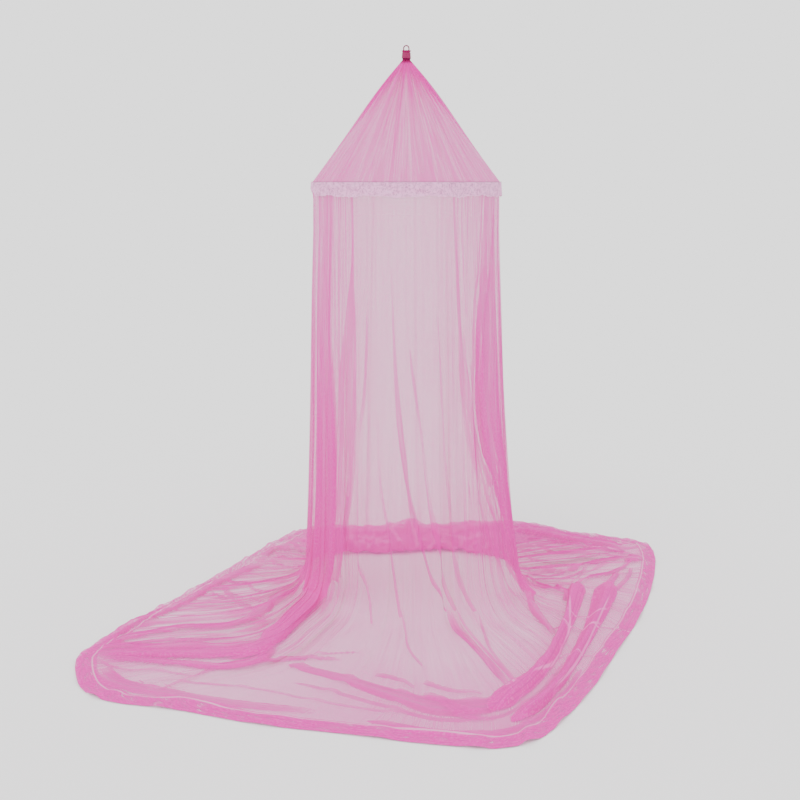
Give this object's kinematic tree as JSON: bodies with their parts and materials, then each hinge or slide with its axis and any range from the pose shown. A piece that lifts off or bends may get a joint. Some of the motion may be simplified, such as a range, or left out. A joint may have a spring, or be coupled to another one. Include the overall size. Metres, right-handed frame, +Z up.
{
  "type": "mosquito net canopy with hoop",
  "caption": "Sheer pink mosquito net canopy: a gathered cone over a round hoop with a lace frill, and a long net wall that falls to the floor and is spread there in folds.",
  "frame": {"origin": "the inner top of the hanging loop, where a hook bears", "axes": "+Z up; the net is seen from -Y, with its pulled corners at the left, the front right and the right, and +X to the right"},
  "size_m": [1.8608, 1.6489, 1.749],
  "materials": {
    "net": "sheer pink net",
    "net_top": "sheer pink net, gathered",
    "hoop_rod": "smooth pale rod",
    "lace": "pale lilac lace",
    "binding": "deep pink tape",
    "cord": "deep pink cord"
  },
  "bodies": {
    "root": {"net_wall": "net", "net_cone": "net_top", "hoop": "hoop_rod", "lace_frill": "lace", "neck_binding": "binding", "hanging_loop": "cord"}
  },
  "joints": []
}
